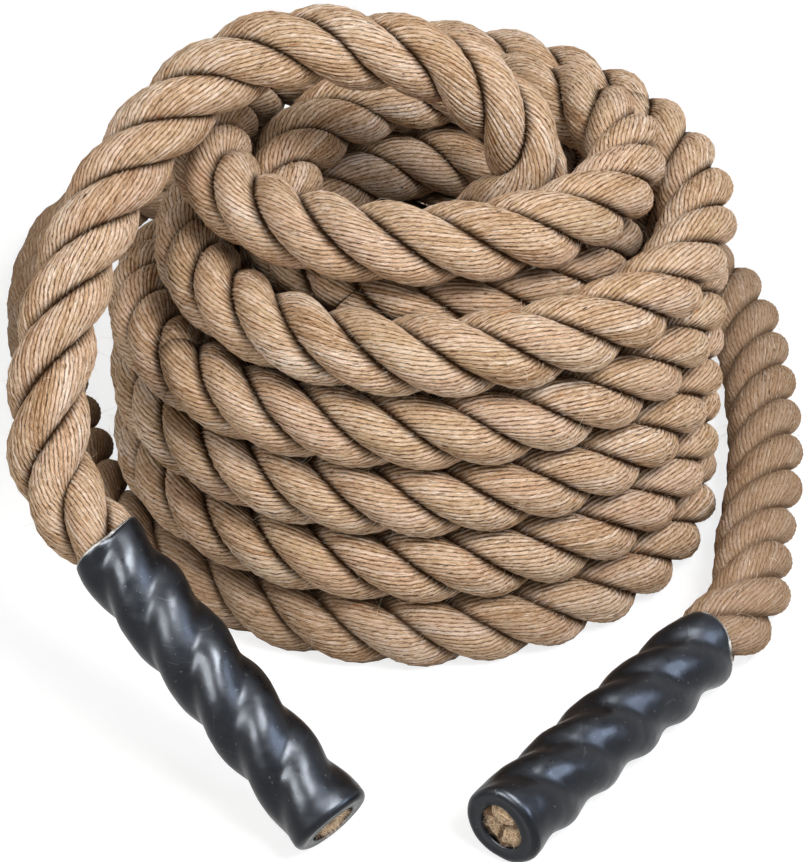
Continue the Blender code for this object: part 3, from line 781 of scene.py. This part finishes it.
def add_cut_face(grip, material, tree, fibre):
    """The cut end of the three strands behind the hole: domed bundles of yarn ends with tufts."""
    offset = STRAND_OFFSET * GRIP_GIRTH
    depth = SLEEVE_LENGTH - FILM_WALL - 0.0006
    centres = [(offset * cos(angle), offset * sin(angle)) for angle in angles(STRANDS)]
    steps, sides = ((56, 128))
    rim = TIP_HOLE_DIAMETER / 2 + 0.0035
    outward, around = grip.axes(depth)
    shape = bmesh.new()
    # the crown layer holds how open each spot is to the light: painted shade in the cut material, and where
    # tufts may grow
    light_share_mark = shape.verts.layers.float.new("crown")

    def vert(x, y):
        rise, crown = cut_height(x, y, grip.seed, STRAND_RADIUS * GRIP_GIRTH, centres)
        point = shape.verts.new(grip.mouth + grip.direction * (depth + rise) + outward * x + around * y)
        point[light_share_mark] = crown
        return point

    centre = vert(0.0, 0.0)
    loops = [[vert(rim * step / steps * cos(angle), rim * step / steps * sin(angle))
              for angle in angles(sides)] for step in range(1, steps + 1)]
    back = grip.mouth + grip.direction * (depth - 0.008)
    back_loop = [shape.verts.new(back + outward * rim * cos(angle) + around * rim * sin(angle))
                 for angle in angles(sides)]
    back_centre = shape.verts.new(back)
    loops.append(back_loop)
    for i in range(sides):
        after = (i + 1) % sides
        shape.faces.new((centre, loops[0][i], loops[0][after]))
        shape.faces.new((back_centre, back_loop[after], back_loop[i]))
        for near, far in zip(loops, loops[1:]):
            shape.faces.new((near[i], far[i], far[after], near[after]))
    piece = finished_shape(grip.name + "_cut_face", shape, material)
    tufts = run_tree(new_object("tufts", piece.data.copy()), tree, {
        "Density": TUFTS_PER_SQUARE_METRE, "Length": 0.0026, "Thickness": 0.00016,
        "Least Lift": 0.15, "Most Lift": 1.15, "Lowest Crown": 0.8, "Curl": 0.5, "Lowest Root": 0.001,
        "From": -1.0, "To": 99.0, "Seed": SEED + grip.way, "Material": fibre}, grip.name + "_cut_tufts")
    for made in (piece, tufts):
        above_floor(made)
        hand_in(made, "cut_rope_end", grip.name + "_rope_end")


# ---- stray fibres
HAIR_SIZES = ("Density", "Length", "Thickness", "Least Lift", "Most Lift", "Curl",
              "Lowest Root", "Lowest Crown", "From", "To")
HAIR_BENDS = ((1.0, 0.3), (-0.7, 0.8), (0.45, -1.0), (1.6, 1.1))  # aside and over, of each shape


def hair_tree():
    """Thin curled fibres that stand off a surface at random, each rooted in it."""
    t, given, result = geometry_tree("stray_fibres", ["Seed"], HAIR_SIZES)
    position = t.geo("InputPosition")[0]
    along = t.split(t.carried("UVMap", "FLOAT_VECTOR"))[0]

    def more(value, name):
        return t.math("GREATER_THAN", value, given[name])

    # fibres only where the surface is open to the air, off the floor and between the sleeves
    bare = (more(t.split(position)[2], "Lowest Root") * more(t.carried("crown"), "Lowest Crown")
            * (more(along, "From") * t.math("LESS_THAN", along, given["To"])))
    spread = t.geo("DistributePointsOnFaces", {
        "Mesh": given["Geometry"], "Selection": bare, "Density": given["Density"],
        "Seed": given["Seed"]}, distribute_method="RANDOM")
    shapes = t.geo("JoinGeometry")
    for bend, swing in HAIR_BENDS:
        spine = t.geo("MeshLine", {"Count": 4, "Offset": (0, 0, 1 / 3)})["Mesh"]
        run = t.split(position)[2]
        aside = run ** 2 * (bend * 0.5) * given["Curl"]
        over = t.math("SINE", run * 3.2) * (swing * 0.12) * given["Curl"]
        spine = t.geo("SetPosition", {"Geometry": spine, "Offset": t.xyz(aside, over, 0)})[0]
        curve = t.geo("MeshToCurve", {"Mesh": spine})["Curve"]
        section = t.geo("CurvePrimitiveCircle", {
            "Resolution": 3, "Radius": given["Thickness"] * 0.5 / given["Length"]})["Curve"]
        taper = 1 - t.geo("SplineParameter")[0] * 0.7
        curve = t.geo("SetCurveRadius", {"Curve": curve, "Radius": taper})[0]
        mesh = t.geo("CurveToMesh", {
            "Curve": curve, "Profile Curve": section, "Fill Caps": True, "Scale": taper})[0]
        t.give(shapes.node.inputs[0], t.geo("GeometryToInstance", {"Geometry": mesh})[0])

    def chance(low, high, seed):
        return t.add("FunctionNodeRandomValue", {2: low, 3: high, "Seed": seed}, data_type="FLOAT")[1]

    def turned(x, y, z):
        return t.add("FunctionNodeEulerToRotation", [t.xyz(x, y, z)])[0]

    def after(first, second):
        return t.add("FunctionNodeRotateRotation", {0: first, 1: second}, rotation_space="LOCAL")[0]

    lift = turned(chance(given["Least Lift"], given["Most Lift"], 3), 0, 0)
    spin = turned(0, 0, chance(0, TURN, 5))
    placed = t.geo("InstanceOnPoints", {
        "Points": spread["Points"], "Instance": shapes[0], "Pick Instance": True,
        "Instance Index": t.add("FunctionNodeRandomValue", {4: 0, 5: 3, "Seed": 11}, data_type="INT")[2],
        "Rotation": after(spread["Rotation"], after(spin, lift)),
        "Scale": given["Length"] * chance(0.35, 1.25, 9)})[0]
    placed = t.geo("StoreNamedAttribute", {
        "Geometry": placed, "Name": "tint", "Value": chance(0, 1, 13)},
        data_type="FLOAT", domain="INSTANCE")[0]
    t.give(result, t.dressed(placed, given["Material"]))
    return t.tree


def add_stray_fibres(rope_piece, tree, material, number, line):
    piece = run_tree(new_object("roots", rope_piece.data.copy()), tree, {
        "Density": FUZZ_PER_SQUARE_METRE * 1.0, "Length": 0.0088,
        "Thickness": 0.00016, "Least Lift": 0.45, "Most Lift": 1.5, "Curl": 1.5, "Lowest Root": 0.004,
        "Lowest Crown": 0.66, "From": line.floor_mouth_at + 0.003, "To": line.leaning_mouth_at - 0.003,
        "Seed": SEED + number, "Material": material}, rope_piece.name.replace("rope_", "fibres_"))
    above_floor(piece)
    hand_in(piece, "natural_fibre_rope")


# ---- materials
def new_material(name):
    material = bpy.data.materials.new(name)
    material.use_nodes = True
    return Tree(material.node_tree, material)


def rope_material():
    """Jute yarns: twisted fibres, dark gaps between yarns, flecks of bark and a few rusty fibres; painted
    shade in the grooves and where turns touch.
    """
    t = new_material("jute_yarn")
    part = t.split(t.node("UVMap", uv_map="UVMap")[0])
    along, round_way = part[0], part[1]
    strand = t.painted("strand")
    yarn_place = round_way * (YARNS / UV_ROUND)
    yarn_number = t.math("FLOOR", yarn_place) + strand * 61

    def grain(lengthwise, across, seed, detail=3, rough=0.6, slant=0):
        """Noise drawn out along the yarn; a slant turns it, as fibres are turned in a twisted yarn."""
        side = round_way + along * slant if slant else round_way
        return t.noise(t.xyz(along * lengthwise, side * across, strand * 9.7 + seed), 1, detail, rough)

    # each yarn has its own tone, which drifts along it, and each stretch of rope has one too
    tone = t.noise(t.xyz(along * 14, yarn_number * 3.17, 0))
    patches = grain(18, 55, 3, 2)
    fibres = grain(520, 2400, 1, 3, 0.75, 0.26)
    clumps = grain(420, 1000, 5, 3, 0.7, 0.16)
    colour = t.ramp((tone * 0.26 + patches * 0.20) + (fibres * 0.38 + clumps * 0.34),
                    (0.47, (0.35, 0.182, 0.080)), (0.59, (0.70, 0.475, 0.295)),
                    (0.715, (0.99, 0.85, 0.725)))
    # some stretches are rosier, and some more like straw
    blush = t.between(grain(11, 34, 131, 1), 0.50, 0.68)
    colour = t.mix(blush * 0.28, colour, (0.70, 0.455, 0.33))
    straw = t.between(grain(13, 41, 151, 1), 0.52, 0.70)
    colour = t.mix(straw * 0.26, colour, (0.66, 0.49, 0.285))
    # painted shade: darker between the strands, by how deep the groove is, and where turns press together,
    # by ambient occlusion
    occlusion_shade = t.node("AmbientOcclusion", {"Distance": 0.012}, samples=4)["AO"]
    for painted_shade in (t.between(t.painted("crown"), 0.82, 0.68), t.between(occlusion_shade, 0.56, 0.28)):
        colour = t.mix(painted_shade * 0.96, colour, (0.032, 0.012, 0.003))
    # the gaps between yarns are dark lines that wander and fade
    wander = (grain(430, 520, 81, 4, 0.75) - 0.5) * 1.05
    off_gap = t.math("PINGPONG", yarn_place + wander, 0.5)
    strength = t.between(grain(300, 1000, 91, 3, 0.75, 0.1), 0.36, 0.56, 0.16, 1)
    colour = t.mix(t.between(off_gap, 0.26, 0.05) ** 1.3 * strength, colour, (0.125, 0.056, 0.021))
    # the stretch by the floor grip is browner than the coil
    colour = t.mix(t.between(along, 1.55, 1.15) * 0.60, colour, (0.30, 0.19, 0.115))
    # flecks of bark, rusty fibres, and brown and pale ones, lying along the yarn
    for lengthwise, across, seed, low, fleck, amount in (
            (330, 1100, 21, 0.715, (0.075, 0.038, 0.018), 0.9),
            (230, 900, 33, 0.745, (0.40, 0.135, 0.035), 0.8),
            (330, 1500, 61, 0.68, (0.20, 0.108, 0.050), 0.6),
            (300, 1900, 47, 0.68, (0.98, 0.86, 0.72), 0.45)):
        mask = t.between(grain(lengthwise, across, seed, 1, 0.4, 0.12), low, low + 0.03)
        colour = t.mix(mask * amount, colour, fleck)
    rounded = (off_gap * 2) ** 0.6
    fine = grain(1100, 6000, 71, 2, 0.7, 0.30)
    height = rounded * 0.75 + (fine * 0.35 + fibres * 0.55)
    return t.shade({"Base Color": colour, "Roughness": 0.88, "Specular IOR Level": 0.02,
                    "Normal": t.bump(height, 0.8, 0.0008)})


def film_material():
    """Shrunk black film: half gloss, a little dusty, with faint hairline scratches."""
    t = new_material("black_shrunk_film")
    place = t.node("TexCoord")["Object"]

    def drawn_out(scale, stretch, turn, detail):
        moved = t.node("Mapping", {"Vector": place, "Rotation": turn, "Scale": stretch})[0]
        return t.noise(moved, scale, detail)

    cloud = t.noise(place, 38, 4)
    haze = t.noise(place, 230, 3)
    speck = t.between(t.noise(place, 620, 1), 0.735, 0.76)
    scratch = t.math("MAXIMUM", t.between(drawn_out(60, (1, 1, 22), (0.5, 0.9, 0.2), 1), 0.70, 0.73),
                     t.between(drawn_out(46, (20, 1, 1), (0.2, 0.4, 1.1), 1), 0.71, 0.74))
    wear = scratch * t.between(cloud, 0.42, 0.62)
    dust = t.math("MAXIMUM", wear * 0.30, speck * 0.8)
    tone = t.mix(t.between(cloud, 0.3, 0.7), (0.0018, 0.0020, 0.0030), (0.0048, 0.0054, 0.0076))
    rough = t.between(haze, 0.3, 0.7, 0.27, 0.38) + dust * 0.2
    wrinkle = drawn_out(75, (1, 1, 1.6), (0.4, 0.2, 0.8), 2)
    height = haze * 0.5 - wear * 0.4 + wrinkle * 2.2
    return t.shade({"Base Color": t.mix(dust * 0.55, tone, (0.16, 0.155, 0.15)),
                    "Roughness": rough + t.between(cloud, 0.3, 0.7, -0.04, 0.07),
                    "Specular IOR Level": 0.28, "Specular Tint": (0.85, 0.91, 1),
                    "Normal": t.bump(height, 0.16, 0.0006)})


def glue_material():
    """Hardened lining: pale, with brown dusty spots."""
    t = new_material("pale_glue")
    patch = t.noise(t.node("TexCoord")["Object"], 260, 4)
    colour = t.ramp(patch, (0.46, (0.075, 0.058, 0.042)), (0.66, (0.58, 0.56, 0.52)))
    return t.shade({"Base Color": colour, "Roughness": 0.55, "Normal": t.bump(patch, 0.4, 0.0004)})


def cut_material():
    """Cut yarn ends: darker and rougher than the rope's skin, with painted shade in the seams and near the
    hole's rim.
    """
    t = new_material("cut_yarn_ends")
    fibre = t.noise(t.node("TexCoord")["Object"], 950, 5, 0.85)
    lit = t.ramp(fibre, (0.40, (0.26, 0.13, 0.055)), (0.54, (1, 0.75, 0.48)))
    # painted shade: the dark colour where the crown layer says the face lies closed to the light
    return t.shade({"Base Color": t.mix(t.painted("crown"), (0.030, 0.015, 0.007), lit), "Roughness": 0.9,
                    "Specular IOR Level": 0.2, "Normal": t.bump(fibre, 0.8, 0.0006)})


def fibre_material():
    """Single fibres, from brown to straw, a little shiny."""
    t = new_material("loose_fibre")
    colour = t.ramp(t.painted("tint"), (0.05, (0.30, 0.18, 0.09)), (0.45, (0.66, 0.47, 0.29)),
                    (0.95, (0.96, 0.84, 0.68)))
    return t.shade({"Base Color": colour, "Roughness": 0.6, "Specular IOR Level": 0.35})


# ---- camera, floor and light
CAMERA_TILT = radians(33.3)
CAMERA_DISTANCE = 1.71
CAMERA_AIM = Vector((-0.00426, 0.0, 0.04028)) + PLACE
SENSOR_HEIGHT = 24.0
HALF_VIEW_SLOPE = 431 / 3492  # of half the picture's height, seen from the camera

LAMP_AIM = Vector((0, 0, 0.1))
WARM, COOL = (1, 0.99, 0.97), (0.72, 0.83, 1)
LAMPS = (  # name, place, size, power, colour, and whether only glossy surfaces show it
    ("top_lamp", (0.75, -1.2, 1.8), 0.75, 33, (1, 0.985, 0.97), False),
    ("front_lamp", (0, -1.9, 1.1), 0.8, 5.5, WARM, False),
    ("left_lamp", (-1.6, -1.1, 1.5), 0.55, 9, WARM, False),
    ("right_lamp", (1.6, -0.9, 1.5), 0.6, 13, COOL, False),
    ("back_lamp", (1.6, 0.9, 1.6), 0.7, 4, WARM, False),
    ("left_box", (-1.6, -1.1, 1.5), 0.95, 125, (1, 1, 1), True),
    ("top_box", (0.1, -0.6, 2.1), 0.95, 140, (0.97, 0.985, 1), True),
    ("right_box", (1.6, -0.9, 1.5), 1, 100, (0.68, 0.79, 1), True),
)


def add_camera():
    forward = Vector((0, cos(CAMERA_TILT), -sin(CAMERA_TILT)))
    data = bpy.data.cameras.new("camera")
    data.sensor_fit = "VERTICAL"
    data.sensor_height = SENSOR_HEIGHT
    data.lens = SENSOR_HEIGHT / 2 / HALF_VIEW_SLOPE
    camera = new_object("camera", data)
    camera.location = CAMERA_AIM - forward * CAMERA_DISTANCE
    camera.rotation_euler = (pi / 2 - CAMERA_TILT, 0, 0)
    bpy.context.scene.camera = camera


def add_floor():
    """White paper; what the camera or a glossy surface sees of it is lifted by a glow, the light isn't."""
    mesh = bpy.data.meshes.new("floor")
    mesh.from_pydata([(-6, -6, 0), (6, -6, 0), (6, 6, 0), (-6, 6, 0)], [], [(0, 1, 2, 3)])
    floor = new_object("studio_floor", mesh)
    floor.location.z = -0.0002
    t = new_material("white_paper")
    t.tree.nodes.clear()
    paper = t.node("BsdfDiffuse", {"Color": (0.60, 0.60, 0.60)})[0]
    pale = t.node("BsdfDiffuse", {"Color": (0.30, 0.30, 0.30)})[0]
    glow = t.node("Emission", {"Color": (1, 1, 1), "Strength": 0.80})[0]
    shown = t.node("AddShader", [pale, glow])[0]
    t.node("OutputMaterial", {"Surface": t.two_faced(paper, shown)})
    mesh.materials.append(t.owner)


def add_light():
    world = bpy.data.worlds.new("soft_room")
    bpy.context.scene.world = world
    world.use_nodes = True
    t = Tree(world.node_tree)
    t.tree.nodes.clear()
    room = t.node("Background", {"Color": (1.0, 0.97, 0.93), "Strength": 0.23})[0]
    card = t.node("Background", {"Color": (1, 1, 1), "Strength": 1.0})[0]
    t.node("OutputWorld", {"Surface": t.two_faced(room, card)})
    for name, place, size, power, colour, glossy_only in LAMPS:
        data = bpy.data.lights.new(name, "AREA")
        data.shape = "DISK"
        data.size = size
        data.energy = power
        data.color = colour
        lamp = new_object(name, data)
        lamp.location = place
        lamp.rotation_euler = (LAMP_AIM - Vector(place)).to_track_quat("-Z", "Y").to_euler()
        lamp.visible_diffuse = not glossy_only
        lamp.visible_glossy = glossy_only


# ---- build
ROPE_PIECES = {
    "rope_on_floor": ("rope_floor_stretch", "floor_rope_end"),
    **dict.fromkeys(("rope_turns_low", "rope_turns_middle", "rope_turns_high", "rope_turns_top",
                     "rope_column_high", "rope_column_low"), ("rope_coil",)),
    "rope_arch": ("rope_arch_stretch", "leaning_rope_end"),
}
HIDDEN_PIECE = "rope_column_low"
PARTING_TURNS = (1.30, 2.85, 4.35, 5.95, 7.40)  # of the coil, where one piece ends and the next begins


def piece_marks(line):
    """Where each piece of rope starts along the line, and where the last one ends."""
    coil, places = coil_line()
    coil = coil + np.array(PLACE)

    def coil_place(turn, low, high):
        return line.nearest(read_rows([turn], places, coil)[0], low, high)

    marks = [0.004, coil_place(places[0], 0.9, 1.4)]
    for turn in PARTING_TURNS:
        marks.append(coil_place(turn, marks[-1] + 0.2, marks[-1] + 1.6))
    return marks + [coil_place(places[-1], marks[-1] + 0.3, marks[-1] + 2.2), line.length - 0.004]


def build():
    bpy.context.scene.view_settings.view_transform = "Standard"
    add_camera()
    add_floor()
    add_light()
    noise.seed_set(SEED)  # or else noise_vector draws its offsets by the clock
    line = RopeLine()
    jute, fibre = rope_material(), fibre_material()
    tree, fuzz = rope_tree(), hair_tree()
    marks = piece_marks(line)
    for number, ((name, nodes), start, finish) in enumerate(zip(ROPE_PIECES.items(), marks, marks[1:])):
        hidden = name == HIDDEN_PIECE
        rope = add_rope_length(name, line, tree, start, finish, jute, nodes, hidden)
        if not hidden:
            add_stray_fibres(rope, fuzz, fibre, number, line)
    film, glue, cut = film_material(), glue_material(), cut_material()
    floor, leaning = grip_frames()
    for grip in (Grip("floor", line, *floor, line.floor_mouth_at, -1),
                 Grip("leaning", line, *leaning, line.leaning_mouth_at, 1)):
        add_film(grip, film)
        add_glue_rim(grip, glue)
        add_cut_face(grip, cut, fuzz, fibre)


build()
